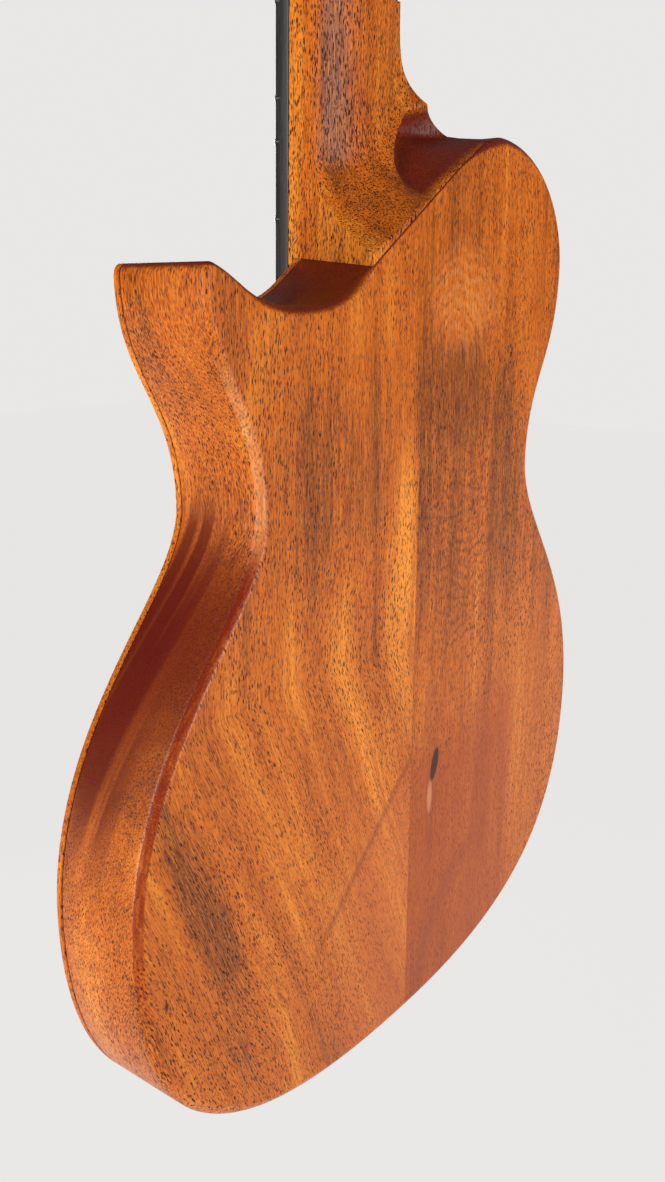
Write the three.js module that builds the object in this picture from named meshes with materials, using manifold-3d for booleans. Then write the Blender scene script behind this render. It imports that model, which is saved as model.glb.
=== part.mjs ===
// A chambered stick dulcimer with a single cutaway: two carved mahogany body halves, a thin soundboard, a
// long neck with a hand-shaped heel, diatonic frets, a doubled melody course and four open-geared tuners.
//
// Frame, in millimetres: +Z runs up the neck, +Y out of the soundboard, -Y out of the carved back, and +X
// towards the bass side. The origin is on the soundboard's plane, under the playing edge of the nut,
// where the prongs of a wall hanger hold the instrument.
import * as THREE from 'three';
import { mergeVertices } from 'three/addons/utils/BufferGeometryUtils.js';
import Module from 'manifold-3d';

const wasm = await Module();
wasm.setup();

// ---- Driving dimensions ----
const SCALE = 600; // open string, nut to saddle
const STRING_COUNT = 4;
const GLUE = 0.2; // gap left at every glued or bolted face
const CURVE_STEPS = 9; // flats along each curve of an outline

const HEEL_Z = -396; // the heel's tip, where the back's centre seam starts
const BODY_DEPTH = 36;
const TOP_THICK = 2.6;
const BACK_THICK = 5;
const WALL_THICK = 8;
const EDGE_ROUND = 2.6;

const SHOULDER = { x: 55.8, z: 27.9 }; // all body heights are measured from the heel's tip
const UPPER_BOUT = { x: 106.6, z: -17.6 };
const WAIST = { x: 84.9, z: -92.7 };
const LOWER_BOUT = { x: 137.6, z: -210.6 };
const TREBLE_BOUT = { x: -140, z: -211 }; // the treble side's lower bout is a little fuller
const TAIL_Z = -310.8;
const HORN = { x: -106.2, z: -24.5, tip: 4.5 };
const CUTAWAY = { x: -66.8, z: -32.4 };
const SLANT_LOW = -29; // x where the slanted shoulder line starts, on the treble side
const SLANT_HIGH = 16; // x where it turns into the bass shoulder
const SLANT = { x: 0.83, z: 0.558 }; // its direction

const CHAMBER_TOP = -62; // solid wood above this height takes the neck
const SOUNDHOLE = { z: -110, radius: 27 };

const NECK_FRONT = 3.5; // the fingerboard's glue plane, above the soundboard
const NUT_HALF = 19; // half the neck's width at the nut
const HEEL_HALF = 24.2; // and at the heel's tip
const NECK_DEPTH_NUT = 11.5; // behind the soundboard's plane
const NECK_DEPTH_HEEL = 13;
const NECK_SIDE = 2.5; // depth of the neck's upright side
const HEEL_FLARE = 0.155; // how much the treble face of the heel spreads with depth
const FLARE_TOP = 62; // where the bass side starts to flare, above the heel's tip
const FLARE_REACH = 46; // x where it meets the body's wall
const TENON = { half: 14, low: -40, depth: 22 };
const BOLT_X = 8;
const BOLT_Y = -12;

const BOARD_THICK = 5.8;
const BOARD_END = -442;
const BOARD_FRONT = NECK_FRONT + GLUE + BOARD_THICK;
const FRET_STEPS = [2, 4, 5, 7, 9, 10, 11, 12, 14, 16, 17, 19, 21, 22]; // a diatonic board, in semitones
const FRET = { width: 2.4, height: 1.0, tang: 0.6, depth: 1.6 };

const NUT_LENGTH = 5;
const NUT_TOP = 11.4;
const SADDLE_TOP = 14.2;
const BRIDGE = { half: 52, length: 26, thick: 9, pinZ: -8.5 };

const HEAD_TILT = THREE.MathUtils.degToRad(8);
const HEAD_THICK = 13;
const OVERLAY_THICK = 1.6;
const HEAD_START = NUT_LENGTH + 0.6;
const TUNER_X = 17;
const TUNER_ROWS = [36, 88, 88, 36]; // height up the head, string by string
const GEAR_TEETH = 14;

const NUT_X = [14.5, 0.8, -11.5, -14.5]; // bass, middle and the melody pair
const SADDLE_X = [19, 1, -15.8, -19];
const PIN_X = [19.4, 1, -13.4, -21.4]; // the melody strings part again behind the saddle
const STRING_RADIUS = [0.42, 0.3, 0.2, 0.2];

// ---- Materials ----
function finish(color, roughness, metalness = 0) {
  return new THREE.MeshStandardMaterial({ color, roughness, metalness });
}
const MAHOGANY = finish(0xb5622c, 0.4);
const NECK_WOOD = finish(0xbd7440, 0.45);
const SPRUCE = finish(0xd9b27a, 0.45);
const EBONY = finish(0x15110f, 0.5);
const BONE = finish(0xe9e1cc, 0.4);
const NICKEL = finish(0xb9b8b4, 0.25, 1);
const BRASS = finish(0xb08d4c, 0.35, 1);
const STEEL = finish(0x8f9092, 0.35, 1);
const BUTTON = finish(0x1a1817, 0.3);

// ---- Solids and booleans ----
const V = (x, y, z) => new THREE.Vector3(x, y, z);

function solid(geometry) {
  const flat = geometry.index ? geometry.toNonIndexed() : geometry.clone();
  flat.deleteAttribute('normal');
  flat.deleteAttribute('uv');
  const merged = mergeVertices(flat, 1e-4);
  const mesh = new wasm.Mesh({
    numProp: 3,
    vertProperties: merged.attributes.position.array,
    triVerts: new Uint32Array(merged.index.array),
  });
  return new wasm.Manifold(mesh);
}

function geometryOf(body) {
  const mesh = body.getMesh();
  const geometry = new THREE.BufferGeometry();
  geometry.setAttribute('position', new THREE.BufferAttribute(mesh.vertProperties.slice(), 3));
  geometry.setIndex(new THREE.BufferAttribute(new Uint32Array(mesh.triVerts), 1));
  geometry.computeVertexNormals();
  return geometry;
}

function cut(geometry, ...tools) {
  return geometryOf(tools.reduce((body, tool) => body.subtract(solid(tool)), solid(geometry)));
}

function join(geometry, ...others) {
  return geometryOf(others.reduce((body, other) => body.add(solid(other)), solid(geometry)));
}

function common(geometry, other) {
  return geometryOf(solid(geometry).intersect(solid(other)));
}

function block(low, high) {
  const size = high.clone().sub(low);
  const centre = high.clone().add(low).multiplyScalar(0.5);
  return new THREE.BoxGeometry(size.x, size.y, size.z).translate(centre.x, centre.y, centre.z);
}

// A round solid about the Y axis from (radius, y) pairs that run upwards.
function turned(profile, sides = 14) {
  const points = profile.map(([radius, y]) => new THREE.Vector2(radius, y));
  return new THREE.LatheGeometry(points, sides);
}

function rod(radius, low, high, sides = 14) {
  return turned([[0, low], [radius, low], [radius, high], [0, high]], sides);
}

function upright(radius, low, high) {
  return rod(radius, low, high).rotateX(Math.PI / 2);
}

// An outline drawn in X and Z, extruded from y = front back to y = front - depth.
function slab(shape, front, depth, options = {}) {
  const settings = { depth, bevelEnabled: false, curveSegments: CURVE_STEPS, ...options };
  return new THREE.ExtrudeGeometry(shape, settings).rotateX(Math.PI / 2).translate(0, front, 0);
}

const group = new THREE.Group();

function piece(name, geometry, material, parent = group) {
  const mesh = new THREE.Mesh(geometry, material);
  mesh.name = name;
  parent.add(mesh);
  return mesh;
}

// ---- Body ----
// A curve between two points of the outline where it runs upright, with the reach of each end's handle.
function bend(outline, from, to, leave, arrive) {
  outline.bezierCurveTo(from.x, from.z + leave, to.x, to.z + arrive, to.x, to.z);
}

// The whole outline, from the low end of the slanted line round by the bass side and the tail.
function bodyOutline() {
  const slope = SLANT.z / SLANT.x;
  const mirror = (p) => ({ x: -p.x, z: p.z });
  const start = { x: SLANT_LOW, z: SLANT_LOW * slope };
  const turn = { x: SLANT_HIGH, z: SLANT_HIGH * slope };
  const s = new THREE.Shape().moveTo(start.x, start.z);
  s.lineTo(turn.x, turn.z);
  s.bezierCurveTo(turn.x + 12, turn.z + 12 * slope, SHOULDER.x - 10, SHOULDER.z, SHOULDER.x, SHOULDER.z);
  s.bezierCurveTo(SHOULDER.x + 31, SHOULDER.z, UPPER_BOUT.x, UPPER_BOUT.z + 22, UPPER_BOUT.x, UPPER_BOUT.z);
  bend(s, UPPER_BOUT, WAIST, -37, 33);
  bend(s, WAIST, LOWER_BOUT, -27.5, 64);
  s.bezierCurveTo(LOWER_BOUT.x, LOWER_BOUT.z - 81, 71, TAIL_Z, 0, TAIL_Z);
  s.bezierCurveTo(-84, TAIL_Z, TREBLE_BOUT.x, TREBLE_BOUT.z - 82, TREBLE_BOUT.x, TREBLE_BOUT.z);
  bend(s, TREBLE_BOUT, mirror(WAIST), 64, -27.5);
  bend(s, mirror(WAIST), HORN, 33, -30);
  s.quadraticCurveTo(HORN.x + 0.4, HORN.z + HORN.tip, HORN.x + HORN.tip, HORN.z + 0.7 * HORN.tip);
  s.bezierCurveTo(HORN.x + 16, HORN.z - 1, CUTAWAY.x - 17, CUTAWAY.z, CUTAWAY.x, CUTAWAY.z);
  s.bezierCurveTo(CUTAWAY.x + 23, CUTAWAY.z, start.x - 9, start.z - 9 * slope, start.x, start.z);
  return s;
}

// The outline moved inwards by a distance, point by point.
function insetOutline(distance) {
  const rim = bodyOutline().getPoints(CURVE_STEPS).slice(1);
  return rim.map((p, i) => {
    const before = rim[(i + rim.length - 1) % rim.length];
    const after = rim[(i + 1) % rim.length];
    const along = after.clone().sub(before).normalize();
    return new THREE.Vector2(p.x + along.y * distance, p.y - along.x * distance);
  });
}

// The chamber inside the rim: the inset outline below the neck block, closed by a straight line.
function chamberOutline() {
  const inside = insetOutline(WALL_THICK);
  const kept = inside.filter((p) => p.y < CHAMBER_TOP);
  const edge = Math.min(kept[0].x, -kept[kept.length - 1].x);
  const corner = (x) => new THREE.Vector2(x, CHAMBER_TOP);
  return new THREE.Shape([corner(edge), ...kept, corner(-edge)]);
}

// The body's outside: upright sides, and a back edge rounded in a few steps.
function bodyBlank(front) {
  const steps = 3;
  const loops = [{ y: front, points: insetOutline(0) }];
  for (let k = 0; k <= steps; k++) {
    const angle = (Math.PI / 2) * (k / steps);
    const inset = EDGE_ROUND * (1 - Math.cos(angle));
    const y = -BODY_DEPTH + EDGE_ROUND * (1 - Math.sin(angle));
    loops.push({ y, points: insetOutline(inset) });
  }
  const count = loops[0].points.length;
  const positions = loops.flatMap(({ y, points }) => points.flatMap((p) => [p.x, y, p.y]));
  const caps = THREE.ShapeUtils.triangulateShape(loops[0].points, []);
  const index = caps.flatMap(([i, j, k]) => [i, k, j]);
  const last = (loops.length - 1) * count;
  index.push(...caps.flatMap(([i, j, k]) => [last + i, last + j, last + k]));
  for (let ring = 0; ring < last; ring += count) {
    for (let i = 0; i < count; i++) {
      const next = (i + 1) % count;
      index.push(ring + i, ring + count + next, ring + next, ring + i, ring + count + i, ring + count + next);
    }
  }
  const geometry = new THREE.BufferGeometry();
  geometry.setAttribute('position', new THREE.Float32BufferAttribute(positions, 3));
  geometry.setIndex(index);
  return geometry;
}

// Both halves as one, with the chamber, the mortise and the bolts' holes cut from the front.
function carvedBody() {
  const chamber = slab(chamberOutline(), 1, BODY_DEPTH - BACK_THICK + 1, { curveSegments: 1 });
  const loose = TENON.half + GLUE;
  const mortise = block(V(-loose, -TENON.depth - GLUE, TENON.low - GLUE), V(loose, 9, 40));
  const bolts = [-BOLT_X, BOLT_X].map((x) => upright(3.4, -90, 0).translate(x, BOLT_Y, 0));
  return cut(bodyBlank(-TOP_THICK - GLUE), chamber, mortise, ...bolts);
}

function addBody(parent) {
  const both = carvedBody();
  for (const [name, side] of [['body_treble_half', -1], ['body_bass_half', 1]]) {
    const x = [side * GLUE * 0.5, side * 200].sort((a, b) => a - b);
    piece(name, common(both, block(V(x[0], -60, -400), V(x[1], 60, 100))), MAHOGANY, parent);
  }
}

function addSoundboard(parent) {
  const tenonSlot = block(V(-TENON.half - GLUE, -9, TENON.low - GLUE), V(TENON.half + GLUE, 9, 40));
  const hole = rod(SOUNDHOLE.radius, -9, 9, 40).translate(0, 0, SOUNDHOLE.z);
  const pins = PIN_X.map((x) => rod(2.6, -9, 9).translate(x, 0, -SCALE - HEEL_Z + BRIDGE.pinZ));
  piece('soundboard', cut(slab(bodyOutline(), 0, TOP_THICK), hole, tenonSlot, ...pins), MAHOGANY, parent);
}

// Two braces and the bridge plate, glued under the soundboard.
function addBracing(parent) {
  const under = -TOP_THICK - GLUE;
  for (const [name, z, half] of [['brace_upper', -152, 92], ['brace_lower', -256, 96]]) {
    const side = new THREE.Shape().moveTo(-half, under).lineTo(-half, under - 3);
    side.lineTo(-half + 30, under - 10).lineTo(half - 30, under - 10);
    side.lineTo(half, under - 3).lineTo(half, under);
    const bar = new THREE.ExtrudeGeometry(side, { depth: 7, bevelEnabled: false }).translate(0, 0, z);
    piece(name, bar, SPRUCE, parent);
  }
  const saddleZ = -SCALE - HEEL_Z;
  const plate = block(V(-46, under - 2.5, saddleZ - 20), V(46, under, saddleZ + 8));
  const holes = PIN_X.map((x) => rod(2.6, -20, 20).translate(x, 0, saddleZ + BRIDGE.pinZ));
  piece('bridge_plate', cut(plate, ...holes), MAHOGANY, parent);
}

// ---- Neck ----
const clamp = THREE.MathUtils.clamp;
const lerp = THREE.MathUtils.lerp;
const ease = THREE.MathUtils.smoothstep;

// Half the neck's width at a height above the heel's tip.
function neckHalf(z) {
  return lerp(HEEL_HALF, NUT_HALF, clamp(z / -HEEL_Z, -0.2, 1));
}

// The bass side's outline: it leaves the neck's edge and sweeps out to the shoulder.
function bassReach(z) {
  const drop = clamp((FLARE_TOP - z) / (FLARE_TOP - SHOULDER.z), 0, 1);
  return lerp(neckHalf(z), FLARE_REACH, drop ** 2.4);
}

// Depth of the neck's rounded back behind the soundboard's plane.
function shaftDepth(x, z) {
  const middle = lerp(NECK_DEPTH_HEEL, NECK_DEPTH_NUT, clamp(z / -HEEL_Z, 0, 1));
  const across = clamp(Math.abs(x) / neckHalf(z), 0, 1);
  return NECK_SIDE + (middle - NECK_SIDE) * (1 - across ** 2) ** 0.68;
}

// Height of the body's wall under the heel: the slanted line, then the rise to the bass shoulder.
function wallHeight(x) {
  const slope = SLANT.z / SLANT.x;
  if (x < SLANT_HIGH) return x * slope;
  const left = clamp((SHOULDER.x - x) / (SHOULDER.x - SLANT_HIGH), 0, 1);
  return SHOULDER.z - (SHOULDER.z - SLANT_HIGH * slope) * left ** 1.56;
}

// A hollow sweep from the full depth of the body up to a rest depth, by distance from the wall.
function sweep(distance, rest, reach, power) {
  const t = 1 - clamp(distance / reach, 0, 1);
  return rest + (BODY_DEPTH - rest) * t ** power;
}

// Depth of the heel: the back sweeps down to the body, and the bass side is scooped away.
function heelDepth(x, z) {
  const distance = (z - wallHeight(x)) * SLANT.x;
  const back = sweep(distance, 8, 30, 2.4);
  const shaft = shaftDepth(x, z);
  const full = (back + shaft + Math.hypot(back - shaft, 3)) / 2 - 0.4;
  const scoop = sweep(distance, 3.2, lerp(22, 5, clamp((x - 12) / 34, 0, 1)), 2.6);
  const crease = 6.5 * Math.sin(clamp(z / 27, 0, 1) * Math.PI * 0.6);
  const top = lerp(22, 36, clamp((x + 8) / 30, 0, 1));
  const weight = ease(x, crease, crease + 7) * (1 - ease(z, top - 6, top + 8));
  return clamp(lerp(full, scoop, weight), 3, BODY_DEPTH);
}

// A closed solid between a flat front and the carved back, over columns of x and rows of z.
function carvedSolid(columns, rows, place, front) {
  const points = [];
  for (const face of [0, 1]) {
    for (let j = 0; j <= rows; j++) {
      for (let i = 0; i <= columns; i++) {
        const { x, z, depth } = place(i / columns, j / rows);
        const spread = face * HEEL_FLARE * depth * Math.pow(1 - i / columns, 2);
        points.push(x - spread, face ? -depth : front, z);
      }
    }
  }
  const index = [];
  const at = (face, i, j) => (face * (rows + 1) + j) * (columns + 1) + i;
  const quad = (a, b, c, d) => index.push(a, b, c, a, c, d);
  for (let j = 0; j < rows; j++) {
    for (let i = 0; i < columns; i++) {
      quad(at(0, i, j), at(0, i, j + 1), at(0, i + 1, j + 1), at(0, i + 1, j));
      quad(at(1, i, j), at(1, i + 1, j), at(1, i + 1, j + 1), at(1, i, j + 1));
    }
    quad(at(0, 0, j), at(1, 0, j), at(1, 0, j + 1), at(0, 0, j + 1));
    quad(at(0, columns, j), at(0, columns, j + 1), at(1, columns, j + 1), at(1, columns, j));
  }
  for (let i = 0; i < columns; i++) {
    quad(at(0, i, 0), at(0, i + 1, 0), at(1, i + 1, 0), at(1, i, 0));
    quad(at(0, i, rows), at(1, i, rows), at(1, i + 1, rows), at(0, i + 1, rows));
  }
  const geometry = new THREE.BufferGeometry();
  geometry.setAttribute('position', new THREE.Float32BufferAttribute(points, 3));
  geometry.setIndex(index);
  return geometry;
}

// The shaft and heel, from inside the body's wall to the nut; rows lie closer together at the heel.
function shaftAndHeel() {
  const top = -HEEL_Z + HEAD_START;
  return carvedSolid(16, 30, (u, v) => {
    const across = 2 * u - 1;
    const low = (across * HEEL_HALF * SLANT.z) / SLANT.x - 8;
    const z = lerp(low, top, v * v);
    const x = across * neckHalf(z);
    return { x, z, depth: heelDepth(x, z) };
  }, NECK_FRONT);
}

// The thin flare that runs from the neck's bass side out to the shoulder.
function bassFlare() {
  return carvedSolid(8, 12, (u, v) => {
    const z = lerp(0, FLARE_TOP, v);
    const x = lerp(neckHalf(z) - 2, bassReach(z) - 1, u);
    return { x, z, depth: heelDepth(x, z) * (1 - 0.5 * u ** 6) };
  }, 0);
}

function headOutline() {
  const s = new THREE.Shape().moveTo(-NUT_HALF, 0);
  s.lineTo(-NUT_HALF, 5);
  s.bezierCurveTo(-NUT_HALF - 1, 12, -30, 14, -30, 24);
  s.lineTo(-27.5, 112);
  s.bezierCurveTo(-26, 122, -12, 117, 0, 124);
  s.bezierCurveTo(12, 117, 26, 122, 27.5, 112);
  s.lineTo(30, 24);
  s.bezierCurveTo(30, 14, NUT_HALF + 1, 12, NUT_HALF, 5);
  s.lineTo(NUT_HALF, 0);
  return s;
}

// Moves head pieces, drawn flat, to the tilted head; heights are above the heel's tip.
function onHead(geometry) {
  return geometry.rotateX(HEAD_TILT).translate(0, NECK_FRONT, -HEEL_Z + HEAD_START);
}

const TUNERS = [1, 1, -1, -1].map((side, i) => ({ side, x: side * TUNER_X, z: TUNER_ROWS[i] }));

function postHoles() {
  return TUNERS.map((t) => rod(3.4, -30, 20).translate(t.x, 0, t.z));
}

// The tenon's top slopes like the cutaway's wall, so the heel hides it.
function tenonBlock() {
  const rise = (TENON.half * SLANT.z) / SLANT.x;
  const s = new THREE.Shape().moveTo(-TENON.half, TENON.low).lineTo(TENON.half, TENON.low);
  s.lineTo(TENON.half, 2 + rise).lineTo(-TENON.half, 2 - rise);
  return slab(s, NECK_FRONT, NECK_FRONT + TENON.depth);
}

function addNeck(parent) {
  const head = onHead(slab(headOutline(), 0, HEAD_THICK));
  const tongue = block(V(-HEEL_HALF + 1, GLUE, BOARD_END - HEEL_Z + 1), V(HEEL_HALF - 1, NECK_FRONT, 0));
  const wall = slab(bodyOutline(), GLUE, BODY_DEPTH + 9).translate(-GLUE * SLANT.z, 0, GLUE * SLANT.x);
  const blank = cut(join(shaftAndHeel(), bassFlare(), head), wall);
  const channel = block(V(-3.2, -5.5, -10), V(3.2, 9, 380));
  const bores = [-BOLT_X, BOLT_X].map((x) => upright(4.8, TENON.low - 1, -20).translate(x, BOLT_Y, 0));
  const whole = join(blank, tenonBlock(), tongue);
  piece('neck', cut(whole, channel, ...bores, ...postHoles().map(onHead)), NECK_WOOD, parent);
  piece('neck_bar', block(V(-3, -5.3, -9.8), V(3, NECK_FRONT - GLUE, 379.8)), STEEL, parent);
}

function addNeckBolts(parent) {
  for (const [side, x] of [['treble', -BOLT_X], ['bass', BOLT_X]]) {
    const shaft = [[0, CHAMBER_TOP - 4.4], [5, CHAMBER_TOP - 4.4], [5, CHAMBER_TOP - GLUE]];
    shaft.push([3, CHAMBER_TOP - GLUE], [3, -27], [0, -26]);
    const bolt = turned(shaft).rotateX(Math.PI / 2).translate(x, BOLT_Y, 0);
    piece(`neck_bolt_${side}`, bolt, STEEL, parent);
    const insert = cut(upright(4.6, TENON.low + GLUE, -21), upright(3.25, TENON.low - 9, 9));
    piece(`neck_insert_${side}`, insert.translate(x, BOLT_Y, 0), BRASS, parent);
  }
}

// ---- Fingerboard, frets and nut ----
const fretHeight = (step) => -SCALE * (1 - 2 ** (-step / 12));

function addFingerboard(parent) {
  const end = BOARD_END;
  const half = (z) => neckHalf(z - HEEL_Z);
  const s = new THREE.Shape().moveTo(-half(0), 0).lineTo(-half(end), end);
  s.lineTo(half(end), end).lineTo(half(0), 0);
  const low = BOARD_FRONT - FRET.depth - 0.3;
  const reach = FRET.tang / 2 + 0.1;
  const slots = FRET_STEPS.map(fretHeight).map((z) => block(V(-40, low, z - reach), V(40, 40, z + reach)));
  piece('fingerboard', cut(slab(s, BOARD_FRONT, BOARD_THICK), ...slots), EBONY, parent);
}

function addFrets(parent) {
  FRET_STEPS.forEach((step, i) => {
    const z = fretHeight(step);
    const half = neckHalf(z - HEEL_Z) - 0.4;
    const s = new THREE.Shape().moveTo(FRET.tang / 2, -FRET.depth).lineTo(FRET.tang / 2, 0);
    s.lineTo(FRET.width / 2, 0);
    s.absellipse(0, 0, FRET.width / 2, FRET.height, 0, Math.PI, false);
    s.lineTo(-FRET.tang / 2, 0).lineTo(-FRET.tang / 2, -FRET.depth);
    const wire = new THREE.ExtrudeGeometry(s, { depth: 2 * half, bevelEnabled: false, curveSegments: 4 });
    piece(`fret_${i + 1}`, wire.rotateY(Math.PI / 2).translate(-half, BOARD_FRONT + 0.05, z), NICKEL, parent);
  });
}

function addNut(parent) {
  const bar = block(V(-NUT_HALF + 0.2, NECK_FRONT + GLUE, GLUE), V(NUT_HALF - 0.2, NUT_TOP, NUT_LENGTH));
  const slots = NUT_X.map((x, i) => {
    const half = STRING_RADIUS[i] + 0.15;
    return block(V(x - half, NUT_TOP - 0.6, -9), V(x + half, NUT_TOP + 9, 20));
  });
  piece('nut', cut(bar, ...slots), BONE, parent);
}

// ---- Bridge, saddle and pins ----
function addBridge(parent) {
  const { half, length, thick, pinZ } = BRIDGE;
  const s = new THREE.Shape().moveTo(-half, -9).bezierCurveTo(-half + 14, -9, -38, -15, -28, -15);
  s.lineTo(28, -15).bezierCurveTo(38, -15, half - 14, -9, half, -9);
  s.lineTo(half, length - 18).lineTo(-half, length - 18);
  const slot = block(V(-24, 4, -1.4), V(24, 20, 1.4));
  const holes = PIN_X.map((x) => rod(2.6, -20, 20).translate(x, 0, pinZ));
  const base = cut(slab(s, GLUE + thick, thick), slot, ...holes);
  piece('bridge', base.translate(0, 0, -SCALE), EBONY, parent);
  piece('saddle', block(V(-23.8, 4.2, -1.2), V(23.8, SADDLE_TOP, 1.2)).translate(0, 0, -SCALE), BONE, parent);
  PIN_X.forEach((x, i) => {
    const top = GLUE + thick + 0.1;
    const knob = [[3.4, top + 0.4], [3.4, top + 1.6], [0, top + 3.2]];
    const pin = turned([[0, top - 16], [2, top - 15], [2.3, top], ...knob], 12);
    piece(`bridge_pin_${i + 1}`, pin.translate(x, 0, pinZ - SCALE), EBONY, parent);
  });
}

// ---- Tuners ----
function gearOutline() {
  const s = new THREE.Shape();
  const tooth = (2 * Math.PI) / GEAR_TEETH;
  for (let i = 0; i < GEAR_TEETH; i++) {
    const corners = [[5.4, -0.3], [6.5, -0.16], [6.5, 0.16], [5.4, 0.3]];
    for (const [radius, turn] of corners) {
      const angle = (i + turn) * tooth;
      const point = [radius * Math.cos(angle), radius * Math.sin(angle)];
      if (i === 0 && turn === -0.3) s.moveTo(...point);
      else s.lineTo(...point);
    }
  }
  return s;
}

const PLATE_BACK = -HEAD_THICK - GLUE - 1.2;
const WORM = { y: PLATE_BACK - 3.6, z: -9.6, shaft: 1.5, thread: 2.5 };

function addTuner(tuner, number, parent) {
  const at = new THREE.Group();
  at.position.set(tuner.x, 0, tuner.z);
  parent.add(at);
  const earLow = V(-0.6, WORM.y - 3.2, WORM.z - 3.4);
  const ear = (x) => block(earLow, V(0.6, PLATE_BACK + 0.6, WORM.z + 3.2)).translate(x, 0, 0);
  const base = block(V(-9, PLATE_BACK, -15), V(9, PLATE_BACK + 1.2, 10));
  const shaftHole = rod(WORM.shaft + 0.15, -20, 20).rotateZ(Math.PI / 2).translate(0, WORM.y, WORM.z);
  const plate = cut(join(base, ear(-6.9), ear(6.9)), shaftHole, rod(3.2, -40, 40));
  piece(`tuner_plate_${number}`, plate, NICKEL, at);

  const top = OVERLAY_THICK + GLUE;
  const stem = [[0, WORM.y - 2.6], [3, WORM.y - 2.6], [3, top + 3.2], [2.4, top + 4.4], [2.4, top + 8.6]];
  stem.push([3, top + 9.6], [2.6, top + 11], [0, top + 11]);
  piece(`tuner_post_${number}`, turned(stem), NICKEL, at);
  const gear = cut(slab(gearOutline(), WORM.y + 1.5, 3), rod(3.15, -40, 40));
  piece(`tuner_gear_${number}`, gear, BRASS, at);

  const spin = (profile, sides) => turned(profile, sides).rotateZ((-tuner.side * Math.PI) / 2);
  const { shaft, thread } = WORM;
  const steps = [[0, -9], [shaft, -9], [shaft, -5], [thread, -4.4], [thread, 4.4]];
  steps.push([shaft, 5], [shaft, 20.5], [0, 20.5]);
  piece(`tuner_worm_${number}`, spin(steps, 10).translate(0, WORM.y, WORM.z), STEEL, at);
  const oval = spin([[0, 15], [3, 15], [3.6, 17.5], [7.4, 19], [8, 22], [7, 26.5], [4, 29], [0, 29.4]], 14);
  oval.scale(1, 0.5, 1);
  const knob = cut(oval, spin([[0, 10], [1.6, 10], [1.6, 20.7], [0, 20.7]], 10));
  piece(`tuner_button_${number}`, knob.translate(0, WORM.y, WORM.z), BUTTON, at);
}

function addHead(parent) {
  const head = new THREE.Group();
  head.position.set(0, NECK_FRONT, HEAD_START);
  head.rotation.x = HEAD_TILT;
  parent.add(head);
  const overlay = slab(headOutline(), GLUE + OVERLAY_THICK, OVERLAY_THICK);
  piece('head_overlay', cut(overlay, ...postHoles()), EBONY, head);
  TUNERS.forEach((tuner, i) => addTuner(tuner, i + 1, head));
}

// ---- Strings ----
// A round solid of a given radius along straight stretches, mitred where they meet.
function wire(points, radius, sides = 6) {
  const at = [];
  points.forEach((p, i) => {
    const before = points[Math.max(i - 1, 0)];
    const after = points[Math.min(i + 1, points.length - 1)];
    const along = after.clone().sub(before).normalize();
    const across = V(1, 0, 0).addScaledVector(along, -along.x).normalize();
    const up = along.clone().cross(across);
    for (let k = 0; k < sides; k++) {
      const angle = (2 * Math.PI * k) / sides;
      const offset = across.clone().multiplyScalar(Math.cos(angle)).addScaledVector(up, Math.sin(angle));
      at.push(...p.clone().addScaledVector(offset, radius).toArray());
    }
  });
  const index = [];
  for (let i = 0; i + 1 < points.length; i++) {
    for (let k = 0; k < sides; k++) {
      const [a, b] = [i * sides + k, i * sides + ((k + 1) % sides)];
      index.push(a, b, b + sides, a, b + sides, a + sides);
    }
  }
  const last = (points.length - 1) * sides;
  for (let k = 1; k + 1 < sides; k++) {
    index.push(0, k + 1, k, last, last + k, last + k + 1);
  }
  const geometry = new THREE.BufferGeometry();
  geometry.setAttribute('position', new THREE.Float32BufferAttribute(at, 3));
  geometry.setIndex(index);
  return geometry;
}

function addStrings(parent) {
  for (let i = 0; i < STRING_COUNT; i++) {
    const radius = STRING_RADIUS[i];
    const tuner = TUNERS[i];
    const post = V(tuner.x - tuner.side * (2.7 + radius), OVERLAY_THICK + 7, tuner.z);
    post.applyAxisAngle(V(1, 0, 0), HEAD_TILT).add(V(0, NECK_FRONT, HEAD_START));
    const nutY = NUT_TOP - 0.5 + radius;
    const saddleY = SADDLE_TOP + 0.1 + radius;
    const route = [
      V(PIN_X[i], GLUE + BRIDGE.thick + 0.4 + radius, BRIDGE.pinZ - SCALE + 4.4),
      V(SADDLE_X[i], saddleY, -SCALE - 1.4),
      V(SADDLE_X[i], saddleY, -SCALE + 1.2),
      V(NUT_X[i], nutY, 0),
      V(NUT_X[i], nutY, NUT_LENGTH + 0.2),
      post,
    ];
    piece(`string_${i + 1}`, wire(route, radius), STEEL, parent);
  }
}

// ---- The whole instrument ----
const fromHeel = new THREE.Group();
fromHeel.position.z = HEEL_Z;
group.add(fromHeel);
addBody(fromHeel);
addSoundboard(fromHeel);
addBracing(fromHeel);
addNeck(fromHeel);
addNeckBolts(fromHeel);
addFingerboard(group);
addFrets(group);
addNut(group);
addBridge(group);
addHead(group);
addStrings(group);

export default group;
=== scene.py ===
import math

import bpy
from mathutils import Matrix, Vector


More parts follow.
